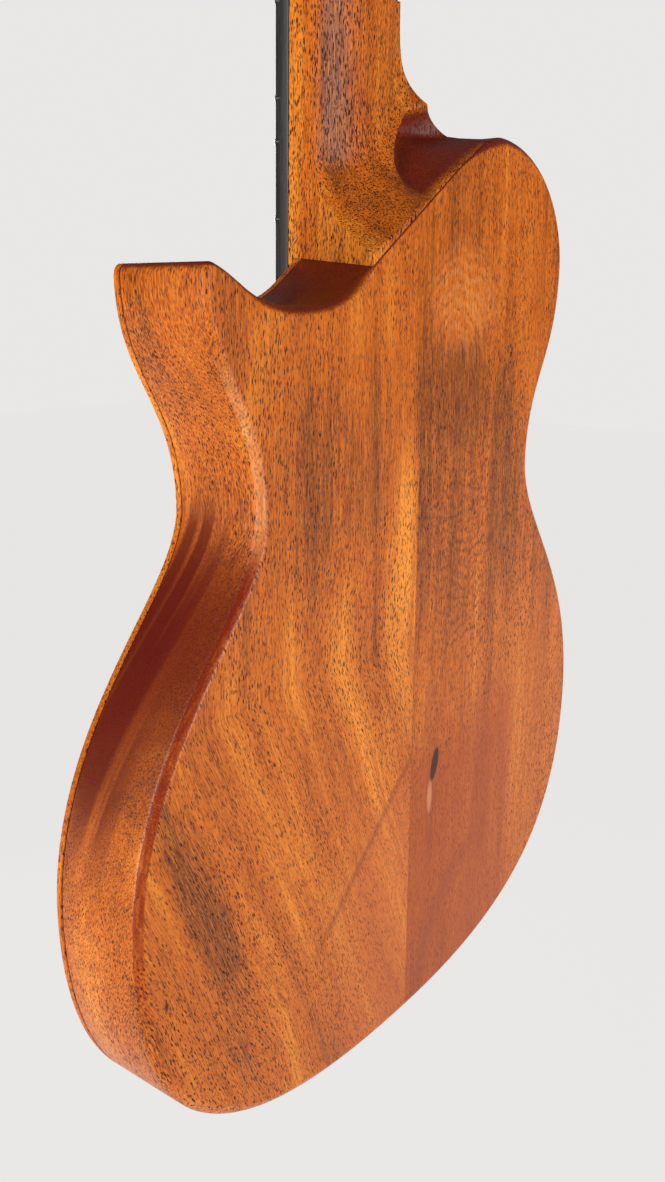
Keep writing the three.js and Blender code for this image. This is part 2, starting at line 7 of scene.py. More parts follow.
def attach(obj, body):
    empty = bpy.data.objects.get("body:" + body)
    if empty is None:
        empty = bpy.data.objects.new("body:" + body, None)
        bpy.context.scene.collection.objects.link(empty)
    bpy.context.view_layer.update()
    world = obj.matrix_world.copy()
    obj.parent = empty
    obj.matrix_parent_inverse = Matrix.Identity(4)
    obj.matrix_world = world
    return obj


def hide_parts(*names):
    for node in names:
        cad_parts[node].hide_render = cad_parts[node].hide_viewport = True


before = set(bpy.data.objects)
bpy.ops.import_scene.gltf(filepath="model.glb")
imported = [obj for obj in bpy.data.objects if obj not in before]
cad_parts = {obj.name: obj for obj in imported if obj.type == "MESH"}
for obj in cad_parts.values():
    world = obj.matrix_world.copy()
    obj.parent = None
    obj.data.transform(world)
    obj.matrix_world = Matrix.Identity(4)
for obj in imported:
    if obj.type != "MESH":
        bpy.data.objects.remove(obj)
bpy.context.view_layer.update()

MM = 0.001
BODY = "instrument"

# ---- Shared dimensions, as in the CAD source ----
HEEL_Z = -396
BODY_DEPTH = 36
SHOULDER = (55.8, 27.9)
UPPER_BOUT = (106.6, -17.6)
WAIST = (84.9, -92.7)
LOWER_BOUT = (137.6, -210.6)
TREBLE_BOUT = (-140, -211)
TAIL_Z = -310.8
HORN = (-106.2, -24.5)
HORN_TIP = 4.5
CUTAWAY = (-66.8, -32.4)
SLOPE = 0.558 / 0.83  # of the cutaway's slanted wall
SLANT_LOW, SLANT_HIGH = -29, 16
WALL = 8
CHAMBER_TOP = -62
SCALE = 600
NECK_FRONT = 3.5
BOARD_FRONT = 9.5
BOARD_END = -442
NUT_HALF, HEEL_HALF = 19, 24.2
HEAD_TILT = math.radians(8)
HEAD_START = 5.6
TENON_HALF, TENON_LOW, TENON_DEPTH = 14, -40, 22
GLUE = 0.2
BOLT_X, BOLT_Y = 8, -12
SOUNDHOLE_Z = -110
FLARE_TOP, FLARE_REACH = 62, 46
UNIT_SLOPE = 0.83  # how much of an upright distance lies square to the slanted wall
QUARTER_X = Matrix.Rotation(math.pi / 2, 4, "X")
QUARTER_Z = Matrix.Rotation(math.pi / 2, 4, "Z")


def clamp(value, low=0.0, high=1.0):
    return max(low, min(high, value))


def lerp(a, b, t):
    return a + (b - a) * t


def ease(value, low, high):
    t = clamp((value - low) / (high - low))
    return t * t * (3 - 2 * t)


# ---- Meshes ----
def make(name, points, faces, material=None):
    mesh = bpy.data.meshes.new(name)
    mesh.from_pydata([[c * MM for c in p] for p in points], [], faces)
    mesh.validate()
    piece = bpy.data.objects.new(name, mesh)
    bpy.context.collection.objects.link(piece)
    if material:
        mesh.materials.append(material)
    return piece


def bake(piece):
    """Keeps the shape that the modifiers give."""
    depsgraph = bpy.context.evaluated_depsgraph_get()
    mesh = bpy.data.meshes.new_from_object(piece.evaluated_get(depsgraph))
    old = piece.data
    piece.modifiers.clear()
    piece.data = mesh
    bpy.data.meshes.remove(old)
    return piece


def combine(piece, tools, operation="DIFFERENCE"):
    for tool in tools:
        change = piece.modifiers.new("combine", "BOOLEAN")
        change.operation = operation
        change.solver = "EXACT"
        change.object = tool
    bake(piece)
    for tool in tools:
        bpy.data.objects.remove(tool)
    return piece


def soften(piece, width, segments=3, angle=40):
    """Rounds the sharp edges."""
    bevel = piece.modifiers.new("soften", "BEVEL")
    bevel.width = width * MM
    bevel.segments = segments
    bevel.limit_method = "ANGLE"
    bevel.angle_limit = math.radians(angle)
    bevel.use_clamp_overlap = True
    return bake(piece)


def shade(piece, angle):
    piece.data.shade_smooth()
    piece.data.set_sharp_from_angle(angle=math.radians(angle))
    return piece


def paint(piece, material):
    piece.data.materials.clear()
    piece.data.materials.append(material)
    return piece


def move(piece, matrix):
    """Moves the mesh itself; lengths in the matrix are millimetres."""
    shift = Matrix.Translation(matrix.translation * MM)
    piece.data.transform(shift @ matrix.to_3x3().to_4x4())
    return piece


def at(x, y, z):
    return Matrix.Translation((x, y, z))


def block(name, low, high, material=None):
    (a, b, c), (d, e, f) = low, high
    points = [(x, y, z) for x in (a, d) for y in (b, e) for z in (c, f)]
    faces = [(0, 1, 3, 2), (4, 6, 7, 5), (0, 4, 5, 1), (2, 3, 7, 6), (0, 2, 6, 4), (1, 5, 7, 3)]
    return make(name, points, faces, material)


def loft(name, loops, material=None):
    """A closed solid through loops of equal length."""
    count = len(loops[0])
    points = [p for loop in loops for p in loop]
    faces = []
    for ring in range(len(loops) - 1):
        for i in range(count):
            a, b = ring * count + i, ring * count + (i + 1) % count
            faces.append((a, b, b + count, a + count))
    faces.append(tuple(reversed(range(count))))
    faces.append(tuple(range((len(loops) - 1) * count, len(loops) * count)))
    return outward(make(name, points, faces, material))


def outward(piece):
    """Turns a closed mesh so that its faces look out."""
    volume = 0.0
    vertices = piece.data.vertices
    for polygon in piece.data.polygons:
        first = vertices[polygon.vertices[0]].co
        for i in range(1, len(polygon.vertices) - 1):
            b, c = vertices[polygon.vertices[i]].co, vertices[polygon.vertices[i + 1]].co
            volume += first.dot(b.cross(c))
    if volume < 0:
        piece.data.flip_normals()
    return piece


def slab(name, shape, front, back):
    """An outline of (x, z) points between two depths."""
    loops = [[(x, y, z) for x, z in shape] for y in (front, back)]
    return loft(name, loops)


def turned(name, profile, sides=40, material=None):
    """A round solid about Y from (radius, y) pairs."""
    loops = []
    for radius, y in profile:
        ring = []
        for k in range(sides):
            angle = 2 * math.pi * k / sides
            ring.append((radius * math.cos(angle), y, radius * math.sin(angle)))
        loops.append(ring)
    return loft(name, loops, material)


def rod(radius, low, high, sides=40):
    return turned("rod", [(radius, low), (radius, high)], sides)


# ---- Body outline ----
def bezier(a, b, c, d, count):
    """Points of a cubic curve, without its first."""
    points = []
    for i in range(1, count + 1):
        t = i / count
        weights = ((1 - t) ** 3, 3 * (1 - t) ** 2 * t, 3 * (1 - t) * t * t, t**3)
        points.append(tuple(sum(w * p[k] for w, p in zip(weights, (a, b, c, d))) for k in (0, 1)))
    return points


def bend(a, b, leave, arrive, count):
    return bezier(a, (a[0], a[1] + leave), (b[0], b[1] + arrive), b, count)


def mirror(point):
    return (-point[0], point[1])


def body_outline(fine=1.0):
    """The whole outline, from the low end of the slanted line round by the bass side and the tail."""
    n = lambda count: max(3, int(count * fine))
    start = (SLANT_LOW, SLANT_LOW * SLOPE)
    turn = (SLANT_HIGH, SLANT_HIGH * SLOPE)
    points = [(start[0] * (1 - (i + 1) / n(10)), start[1] * (1 - (i + 1) / n(10))) for i in range(n(10))]
    points += [(turn[0] * (i + 1) / n(6), turn[1] * (i + 1) / n(6)) for i in range(n(6))]
    points += bezier(turn, (28, 28 * SLOPE), (45.8, 27.9), SHOULDER, n(24))
    points += bezier(SHOULDER, (86.8, 27.9), (106.6, 4.4), UPPER_BOUT, n(40))
    points += bend(UPPER_BOUT, WAIST, -37, 33, n(36))
    points += bend(WAIST, LOWER_BOUT, -27.5, 64, n(54))
    points += bezier(LOWER_BOUT, (137.6, -291.6), (71, TAIL_Z), (0, TAIL_Z), n(80))
    points += bezier((0, TAIL_Z), (-84, TAIL_Z), (-140, -293), TREBLE_BOUT, n(80))
    points += bend(TREBLE_BOUT, mirror(WAIST), 64, -27.5, n(54))
    points += bend(mirror(WAIST), HORN, 33, -30, n(36))
    middle = (HORN[0] + 0.4, HORN[1] + HORN_TIP)
    end = (HORN[0] + HORN_TIP, HORN[1] + 0.7 * HORN_TIP)
    first = tuple(lerp(HORN[k], middle[k], 2 / 3) for k in (0, 1))
    second = tuple(lerp(end[k], middle[k], 2 / 3) for k in (0, 1))
    points += bezier(HORN, first, second, end, n(10))
    points += bezier(end, (-90.2, -25.5), (-83.8, CUTAWAY[1]), CUTAWAY, n(22))
    points += bezier(CUTAWAY, (-43.8, CUTAWAY[1]), (-38, -38 * SLOPE), start, n(24))
    return points


def inset(shape, distance):
    """The outline moved inwards; the distance may be one number or one for each point."""
    moved = []
    count = len(shape)
    for i, (x, z) in enumerate(shape):
        (ax, az), (bx, bz) = shape[i - 1], shape[(i + 1) % count]
        length = math.hypot(bx - ax, bz - az)
        d = distance[i] if isinstance(distance, list) else distance
        if abs(x) < 1e-9:  # a point on the seam stays on it
            moved.append((0.0, z - d * length / (bx - ax)))
            continue
        moved.append((x + (bz - az) / length * d, z - (bx - ax) / length * d))
    return moved


def lift(shape):
    """Heights from the heel's tip to heights of the part's frame."""
    return [(x, z + HEEL_Z) for x, z in shape]


def edge_radius(x, z):
    """The back edge is a tight bevel on the treble side and a softer round at the bass side and tail."""
    soft = max(ease(x, 20, 70), ease(-z, 235, 290))
    tight = lerp(lerp(1.5, 3.0, ease(math.hypot(x - HORN[0], z - HORN[1]), 6, 26)), 4.4, soft)
    under_heel = ease(z, -26, -16) * (1 - ease(x, 24, 50)) * ease(x, -45, -30)
    return lerp(tight, 0.7, under_heel)


def body_rings():
    """Loops round the whole body, from its front edge over the rounded back edge to the flat back."""
    shape = body_outline()
    radius = [edge_radius(x, z) for x, z in shape]
    rings = []
    for y, d in ((-2.8, 0.5), (-3.05, 0.15), (-3.4, 0.0), (-18, 0.0)):
        rings.append([(x, y, z + HEEL_Z) for x, z in inset(shape, d)])
    steps = 10
    for k in range(steps + 1):
        angle = math.pi / 2 * k / steps
        out, up = 1 - math.cos(angle) ** 1.29, 1 - math.sin(angle) ** 1.29
        edge = inset(shape, [r * out for r in radius])
        rings.append([(x, r * up - BODY_DEPTH, z + HEEL_Z) for (x, z), r in zip(edge, radius)])
    flat = inset(shape, [r + 0.5 for r in radius])
    rings.append([(x, -BODY_DEPTH, z + HEEL_Z) for x, z in flat])
    return rings


def half_ring(ring, side):
    """The part of a loop on one side of the seam, kept just clear of it."""
    seam = [i for i, p in enumerate(ring) if abs(p[0]) < 1e-9]
    top, tail = seam[0], seam[-1]
    kept = ring[top : tail + 1] if side > 0 else ring[tail:] + ring[: top + 1]
    return [(side * max(side * x, 0.02), y, z) for x, y, z in kept]


def chamber_tool():
    inner = [p for p in inset(body_outline(0.5), WALL) if p[1] < CHAMBER_TOP]
    edge = min(inner[0][0], -inner[-1][0])
    shape = [(edge, CHAMBER_TOP)] + inner + [(-edge, CHAMBER_TOP)]
    return slab("chamber", lift(shape), 1, -BODY_DEPTH + 5)


def mortise():
    """The slot for the neck's tenon, open at the top and the front."""
    half, low = TENON_HALF + GLUE, HEEL_Z + TENON_LOW - GLUE
    return block("mortise", (-half, -TENON_DEPTH - GLUE, low), (half, 9, HEEL_Z + 40))


def bodies(materials):
    rings = body_rings()
    for name, side in (("body_treble_half", -1), ("body_bass_half", 1)):
        half = loft(name + "_wood", [half_ring(ring, side) for ring in rings])
        bolt = move(rod(3.4, -90, 0), at(side * BOLT_X, BOLT_Y, HEEL_Z) @ QUARTER_X)
        combine(half, [chamber_tool(), mortise(), bolt])
        shade(paint(half, materials[name]), 30)
        settle(half, BODY, "body_wood", name)


def settle(piece, body, slot, *nodes):
    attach(piece, body)
    if nodes:
        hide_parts(*nodes)
    return piece


# ---- Neck ----
def neck_half(z):
    return lerp(HEEL_HALF, NUT_HALF, clamp(z / -HEEL_Z, -0.2, 1))


def bass_reach(z):
    drop = clamp((FLARE_TOP - z) / (FLARE_TOP - SHOULDER[1]))
    return lerp(neck_half(z), FLARE_REACH, drop**2.4)


def shaft_depth(x, z):
    middle = lerp(13, 11.5, clamp(z / -HEEL_Z))
    across = clamp(abs(x) / neck_half(z))
    return 2.5 + (middle - 2.5) * (1 - across**2) ** 0.68


def wall_height(x):
    if x < SLANT_HIGH:
        return x * SLOPE
    left = clamp((SHOULDER[0] - x) / (SHOULDER[0] - SLANT_HIGH))
    return SHOULDER[1] - (SHOULDER[1] - SLANT_HIGH * SLOPE) * left**1.56


def sweep(distance, rest, reach, power):
    return rest + (BODY_DEPTH - rest) * (1 - clamp(distance / reach)) ** power


def soft_max(a, b, radius):
    return (a + b + math.hypot(a - b, radius)) / 2 - radius * 0.13


def heel_depth(x, z):
    """Depth of the back of the neck and heel, with the scoop cut into its bass side."""
    distance = (z - wall_height(x)) * UNIT_SLOPE
    full = soft_max(sweep(distance, 8, 30, 2.4), shaft_depth(x, z), 3)
    crease = 0.17 * z + 0.0145 * z * z
    arc = (26 + 0.5 * x - 0.0045 * x * x - z) * 0.85
    ledge = ease(arc, 0, 1.0) * (1 - ease(arc, 1.5, 10)) * ease(x, -9, 0)
    inside = min(arc, (x - crease) * 0.88) if z > 0 else x * 0.5
    floor = sweep(distance, 3.2, lerp(22, 6, ease(x, 12, 46)), 2.6)
    hollow = soft_max(full - 1.7 * max(inside, 0), floor, 2.2) if inside > 0 else full
    return clamp(min(full, hollow) - 0.3 * ledge, 3, BODY_DEPTH)


def neck_grid(columns, rows):
    """The shaft, heel and flare as one closed grid of the flat front and the carved back."""
    top = -HEEL_Z + 42
    points = []
    for face in (0, 1):
        for j in range(rows + 1):
            v = (j / rows) ** 1.7
            for i in range(columns + 1):
                u = 0.5 - 0.5 * math.cos(math.pi * i / columns)
                z = lerp((2 * u - 1) * HEEL_HALF * SLOPE - 8, top, v)
                x = lerp(-neck_half(z), bass_reach(z), u)
                depth = heel_depth(x, z) if z < 70 else shaft_depth(x, z)
                flare = 0.155 * depth * (1 - u) ** 2
                rise = max(0, z + HEEL_Z - HEAD_START)
                front = NECK_FRONT - 0.3 * min(rise, 1) - 0.14 * rise
                points.append((x - face * flare, -depth if face else front, z + HEEL_Z))
    width = columns + 1
    face_size = width * (rows + 1)
    faces = []
    for j in range(rows):
        for i in range(columns):
            a = j * width + i
            faces.append((a, a + width, a + width + 1, a + 1))
            b = face_size + a
            faces.append((b, b + 1, b + width + 1, b + width))
        a, b = j * width, j * width + columns
        faces.append((a, a + face_size, a + face_size + width, a + width))
        faces.append((b, b + width, b + width + face_size, b + face_size))
    for i in range(columns):
        a, b = i, rows * width + i
        faces.append((a, a + 1, a + 1 + face_size, a + face_size))
        faces.append((b, b + face_size, b + 1 + face_size, b + 1))
    return outward(make("neck_wood", points, faces))


def head_outline():
    points = [(-NUT_HALF, 0)]
    points += bezier((-NUT_HALF, 5), (-NUT_HALF - 1, 12), (-30, 14), (-30, 24), 12)
    points += bezier((-27.5, 112), (-26, 122), (-12, 117), (0, 124), 14)
    right = [mirror(p) for p in reversed(points[:-1])]
    return points + right


def on_head(piece):
    return move(piece, at(0, NECK_FRONT, HEAD_START) @ Matrix.Rotation(HEAD_TILT, 4, "X"))


TUNERS = [(1, 17, 36), (1, 17, 88), (-1, -17, 88), (-1, -17, 36)]  # side, x, height up the head


def neck(material):
    solid = neck_grid(72, 260)
    outline = [(x - 0.06, z + 0.08) for x, z in body_outline(0.6)]
    wall = slab("wall", lift(outline), 0.1, -60)
    head = on_head(soften(slab("head", head_outline(), 0, -13), 1.4, 4, 50))
    combine(solid, [wall])
    rise = TENON_HALF * SLOPE
    shape = [(-TENON_HALF, TENON_LOW), (TENON_HALF, TENON_LOW)]
    shape += [(TENON_HALF, 2 + rise), (-TENON_HALF, 2 - rise)]
    tenon = slab("tenon", lift(shape), NECK_FRONT - 0.01, -TENON_DEPTH)
    tongue = block("tongue", (-23.2, 0.1, BOARD_END + 1), (23.2, NECK_FRONT, HEEL_Z + 1))
    combine(solid, [head, tenon, tongue], "UNION")
    channel = block("channel", (-3.2, -5.5, HEEL_Z - 10), (3.2, 9, HEEL_Z + 380))
    bores = [move(rod(4.8, -41, -20), at(x, BOLT_Y, HEEL_Z) @ QUARTER_X) for x in (-BOLT_X, BOLT_X)]
    posts = [on_head(move(rod(3.3, -30, 20), at(x, 0, z))) for _, x, z in TUNERS]
    combine(solid, [channel] + bores + posts)
    shade(paint(solid, material), 26)
    return settle(solid, BODY, "neck_wood", "neck")


# ---- Soundboard, fingerboard and bridge ----
BRIDGE_Z = -SCALE
PINS = (19.4, 1, -13.4, -21.4)
PIN_Z = BRIDGE_Z - 8.5
FRET_STEPS = (2, 4, 5, 7, 9, 10, 11, 12, 14, 16, 17, 19, 21, 22)  # a diatonic board, in semitones
STRING_RADII = (0.42, 0.3, 0.2, 0.2)
SADDLE_SPOTS = (19, 1, -15.8, -19)
NUT_SLOTS = (14.5, 0.8, -11.5, -14.5)


def soundboard(material):
    """A thin board with a rounded front edge, its soundhole, the tenon's slot and four pin holes."""
    shape = body_outline()
    edge = ((-2.6, 0.2), (-2.4, 0.0), (-0.9, 0.0), (-0.45, 0.12), (-0.12, 0.45), (0.0, 0.9), (0.0, 1.6))
    loops = []
    for y, d in edge:
        loops.append([(x, y, z + HEEL_Z) for x, z in inset(shape, d)])
    board = loft("soundboard_wood", loops)
    hole = turned("hole", [(27.4, -9), (27.0, -2.4), (27.0, -0.5), (27.6, 0.1), (30, 9)], 96)
    pins = [move(rod(2.6, -9, 9), at(x, 0, PIN_Z)) for x in PINS]
    combine(board, [move(hole, at(0, 0, HEEL_Z + SOUNDHOLE_Z)), mortise()] + pins)
    shade(paint(board, material), 30)
    return settle(board, BODY, "body_wood", "soundboard")


def fret_height(step):
    return -SCALE * (1 - 2 ** (-step / 12))


def fingerboard(material):
    half = lambda z: neck_half(z - HEEL_Z)
    shape = [(-half(0), 0), (-half(BOARD_END), BOARD_END), (half(BOARD_END), BOARD_END), (half(0), 0)]
    board = slab("fingerboard_wood", shape, BOARD_FRONT, BOARD_FRONT - 5.8)
    soften(board, 0.5, 3)
    slots = []
    for z in map(fret_height, FRET_STEPS):
        slots.append(block("slot", (-40, BOARD_FRONT - 1.9, z - 0.4), (40, 40, z + 0.4)))
    combine(board, slots)
    shade(paint(board, material), 30)
    return settle(board, BODY, "dark_wood", "fingerboard")


def fret(number, material):
    """A crowned wire with a tang below it and ends filed to a slope."""
    z = fret_height(FRET_STEPS[number - 1])
    half = neck_half(z - HEEL_Z) - 0.35
    filed = ((-half, 0.25), (-half + 0.3, 0.7), (-half + 0.9, 1))
    loops = []
    for x, scale in filed + tuple((-x, scale) for x, scale in reversed(filed)):
        ring = [(x, BOARD_FRONT - 1.55, z + 0.28), (x, BOARD_FRONT + 0.06, z + 0.28)]
        for k in range(13):
            angle = math.pi * k / 12
            up = BOARD_FRONT + 0.06 + 1.0 * scale * math.sin(angle)
            ring.append((x, up, z + 1.2 * math.cos(angle)))
        ring += [(x, BOARD_FRONT + 0.06, z - 0.28), (x, BOARD_FRONT - 1.55, z - 0.28)]
        loops.append(ring)
    wire = loft(f"fret_wire_{number}", loops, material)
    shade(wire, 40)
    return settle(wire, BODY, "fret_wire", f"fret_{number}")


def nut(material):
    bar = block("nut_bone", (-18.8, 3.7, 0.2), (18.8, 11.4, 5))
    soften(bar, 0.7, 4)
    slots = []
    for x, r in zip(NUT_SLOTS, STRING_RADII):
        slots.append(block("slot", (x - r - 0.15, 10.8, -9), (x + r + 0.15, 20, 20)))
    combine(bar, slots)
    bar.data.materials.append(material)
    shade(bar, 30)
    return settle(bar, BODY, "bone", "nut")


def bridge(dark, white):
    """Thick in the middle with thinned wings, a saddle slot and four pin holes."""
    loops = []
    for i in range(65):
        x = lerp(-51.8, 51.8, i / 64)
        centre = 1 - ease(abs(x), 27, 44)
        end = 1 - ease(abs(x), 50.2, 51.9)
        low, high = lerp(-8.9, -14.9, centre), 7.9
        top = lerp(4.6, 9.1, centre) * lerp(0.72, 1, end) + 0.1
        ring = [(x, 0.2, low), (x, top - 1.8, low)]
        for k in range(1, 6):
            angle = math.pi / 2 * k / 6
            ring.append((x, top - 1.8 * (1 - math.sin(angle)), low + 1.8 * (1 - math.cos(angle))))
        ring += [(x, top, low + 1.8), (x, top, high - 1.8)]
        for k in range(1, 6):
            angle = math.pi / 2 * k / 6
            ring.append((x, top - 1.8 * (1 - math.cos(angle)), high - 1.8 * (1 - math.sin(angle))))
        ring += [(x, top - 1.8, high), (x, 0.2, high)]
        loops.append([(px, py, pz + BRIDGE_Z) for px, py, pz in ring])
    base = loft("bridge_wood", loops)
    slot = block("slot", (-24, 4, BRIDGE_Z - 1.4), (24, 20, BRIDGE_Z + 1.4))
    combine(base, [slot] + [move(rod(2.6, -20, 20), at(x, 0, PIN_Z)) for x in PINS])
    shade(paint(base, dark), 30)
    settle(base, BODY, "dark_wood", "bridge")
    saddle = block("saddle_bone", (-23.8, 4.2, BRIDGE_Z - 1.2), (23.8, 14.2, BRIDGE_Z + 1.2), white)
    soften(saddle, 0.9, 5)
    shade(saddle, 40)
    settle(saddle, BODY, "bone", "saddle")
    bridge_pins(dark)


def bridge_pins(material):
    """Tapered pins with domed heads."""
    top = 9.3
    profile = [(1.7, top - 16), (2, top - 14.8), (2.3, top), (3.3, top + 0.4)]
    profile += [(3.5, top + 1.1), (3.2, top + 1.9), (2.4, top + 2.6), (1.3, top + 3.1), (0.9, top + 3.2)]
    for number, x in enumerate(PINS, 1):
        pin = move(turned(f"pin_{number}", profile, 32, material), at(x, 0, PIN_Z))
        shade(pin, 50)
        settle(pin, BODY, "dark_wood", f"bridge_pin_{number}")


def overlay(material):
    board = soften(slab("overlay_wood", head_outline(), 1.8, 0.2), 0.5, 3, 50)
    combine(board, [move(rod(3.4, -30, 20), at(x, 0, z)) for _, x, z in TUNERS])
    shade(on_head(paint(board, material)), 30)
    return settle(board, BODY, "dark_wood", "head_overlay")


# ---- Tuners ----
PLATE_BACK = -14.4
WORM_Y, WORM_Z = -18.0, -9.6
GEAR_TEETH = 14


def screw(x, z):
    """A domed screw head with a cross slot."""
    head = turned("screw", [(1.9, -1.3), (1.9, -1.6), (1.5, -2.1), (0.7, -2.3)], 24)
    across = block("slot", (-1.2, -9, -0.2), (1.2, -1.8, 0.2))
    upright = block("slot", (-0.2, -9, -1.2), (0.2, -1.8, 1.2))
    combine(head, [across, upright])
    return move(head, at(x, PLATE_BACK + 1.3, z))


def worm_mesh(side):
    """A shaft with a real thread of one turn each two millimetres where it meets the gear."""
    loops, sides = [], 32
    for i in range(181):
        along = lerp(-9, 20.5, i / 180)
        ring = []
        for k in range(sides):
            angle = 2 * math.pi * k / sides
            wave = 0.5 + 0.5 * math.cos(2 * math.pi * along / 2.0 - side * angle)
            inside = ease(along, -5, -4) * (1 - ease(along, 4, 5))
            radius = 1.5 + inside * (0.15 + 0.85 * ease(wave, 0.2, 0.8))
            ring.append((side * along, radius * math.cos(angle), radius * math.sin(angle)))
        loops.append(ring)
    return loft("worm", loops)


def gear_mesh():
    shape = []
    count = GEAR_TEETH * 8
    for i in range(count):
        angle = 2 * math.pi * i / count
        wave = 0.5 + 0.5 * math.cos(GEAR_TEETH * angle)
        radius = 5.4 + 1.1 * ease(wave, 0.15, 0.85)
        shape.append((radius * math.cos(angle), radius * math.sin(angle)))
    rings = [(WORM_Y + 1.5, 0.3), (WORM_Y + 1.2, 0), (WORM_Y - 1.2, 0), (WORM_Y - 1.5, 0.3)]
    loops = [[(x * (1 - d / 6), y, z * (1 - d / 6)) for x, z in shape] for y, d in rings]
    gear = loft("gear", loops)
    return combine(gear, [rod(3.1, -40, 40)])


def button_mesh(side):
    """An oval knob on a collar, hollow for its shaft."""
    profile = [(3.0, 15), (3.2, 16), (3.4, 17.2), (5.4, 17.8), (7.0, 18.8), (7.8, 20.4), (8.0, 22.2)]
    profile += [(7.7, 24.2), (6.9, 26.2), (5.6, 27.8), (4.0, 28.8), (2.0, 29.3), (0.6, 29.4)]
    knob = turned("button", profile, 48)
    for vertex in knob.data.vertices:
        vertex.co.x *= 0.5 if vertex.co.y > 17.4 * MM else 0.9
    knob = combine(knob, [rod(1.6, 10, 20.7, 24)])
    return move(knob, Matrix.Rotation(-side * math.pi / 2, 4, "Z"))


def tuner(number, materials):
    side, x, z = TUNERS[number - 1]
    place = lambda mesh: on_head(move(mesh, at(x, 0, z)))

    def done(mesh, name, material, body, slot, node, angle=35):
        mesh.name = f"{name}_{number}"
        shade(place(paint(mesh, materials[material])), angle)
        settle(mesh, body, slot, f"{node}_{number}")

    plate = soften(block("plate", (-9, PLATE_BACK, -15), (9, PLATE_BACK + 1.2, 10)), 0.45, 3)
    ears = []
    for ear in (-6.9, 6.9):
        low, high = (ear - 0.6, WORM_Y - 3.2, WORM_Z - 3.4), (ear + 0.6, PLATE_BACK + 0.5, WORM_Z + 3.2)
        ears.append(soften(block("ear", low, high), 0.4, 3))
    combine(plate, ears, "UNION")
    shaft = move(rod(1.65, -20, 20), at(0, WORM_Y, WORM_Z) @ QUARTER_Z)
    combine(plate, [shaft, rod(3.2, -40, 40)])
    combine(plate, [screw(-5.5, 7), screw(5.5, 7)], "UNION")
    done(plate, "plate", "nickel", BODY, "plated_metal", "tuner_plate")

    top = 1.8
    profile = [(2.5, WORM_Y - 2.6), (3, WORM_Y - 2.2), (3, top + 3.2), (2.5, top + 4.2), (2.35, top + 5.4)]
    profile += [(2.35, top + 7.6), (2.5, top + 8.8), (3, top + 9.6), (2.9, top + 10.5), (2.3, top + 11)]
    post = turned("post", profile, 40)
    hole = move(rod(0.7, -9, 9, 16), at(0, top + 5.8, 0) @ QUARTER_X)
    slot = block("slot", (-1.9, -40, -0.35), (1.9, WORM_Y - 2.1, 0.35))
    combine(post, [hole, slot])
    done(post, "post_steel", "nickel", f"post_{number}", "plated_metal", "tuner_post")
    done(gear_mesh(), "gear_brass", "brass", f"post_{number}", "brass", "tuner_gear")

    worm = move(worm_mesh(side), at(0, WORM_Y, WORM_Z))
    done(worm, "worm", "steel", f"knob_{number}", "hidden_steel", "tuner_worm")
    knob = move(button_mesh(side), at(0, WORM_Y, WORM_Z))
    done(knob, "button", "button", f"knob_{number}", "button_black", "tuner_button", 50)


# ---- Strings ----
SADDLE_TOP = 14.2
POST_RADIUS = 2.45
TURNS_Y = 8.4  # where a string meets its post, in front of the head's face


def tube(name, path, radius, material, sides=12):
    """A round wire along a path of points."""
    loops = []
    points = [Vector(p) for p in path]
    side = Vector((1, 0, 0))
    for i, p in enumerate(points):
        along = (points[min(i + 1, len(points) - 1)] - points[max(i - 1, 0)]).normalized()
        side = (side - along * side.dot(along)).normalized()
        up = along.cross(side)
        ring = []
        for k in range(sides):
            angle = 2 * math.pi * k / sides
            ring.append(tuple(p + (side * math.cos(angle) + up * math.sin(angle)) * radius))
        loops.append(ring)
    wire = loft(name, loops, material)
    return shade(wire, 60)


def string(number, materials):
    """From its bridge pin over the saddle and the nut to its post, and four turns round the post."""
    i = number - 1
    radius, saddle_x, nut_x = STRING_RADII[i], SADDLE_SPOTS[i], NUT_SLOTS[i]
    side, post_x, post_z = TUNERS[i]
    tilt = Matrix.Translation((0, NECK_FRONT, HEAD_START)) @ Matrix.Rotation(HEAD_TILT, 4, "X")
    reach = POST_RADIUS + radius
    end = tilt @ Vector((post_x - side * reach, TURNS_Y, post_z))
    over = SADDLE_TOP + radius
    path = [(PINS[i], 9.6 + radius, PIN_Z + 4.2), (saddle_x, over - 0.1, BRIDGE_Z - 1.2)]
    path += [(saddle_x, over, BRIDGE_Z), (saddle_x, over - 0.1, BRIDGE_Z + 1.2)]
    path += [(nut_x, 10.95 + radius, 0), (nut_x, 10.95 + radius, 5.2), tuple(end)]
    kind = "wound" if number == 1 else "string"
    wire = tube(f"string_wire_{number}", path, radius, materials[kind])
    settle(wire, BODY, "string_steel", f"string_{number}")
    turns = []
    steps = 24
    for k in range(4 * steps + 1):
        angle = 2 * math.pi * k / steps
        x = post_x - side * reach * math.cos(angle)
        y = TURNS_Y - 2.1 * radius * k / steps
        turns.append(tuple(tilt @ Vector((x, y, post_z + reach * math.sin(angle)))))
    coil = tube(f"string_coil_{number}", turns, radius, materials[kind], 8)
    settle(coil, f"post_{number}", "string_steel")


# ---- Materials ----
def rgb(red, green, blue):
    """A display colour as linear light."""
    linear = [c / 255 / 12.92 if c <= 10 else ((c / 255 + 0.055) / 1.055) ** 2.4 for c in (red, green, blue)]
    return (*linear, 1.0)


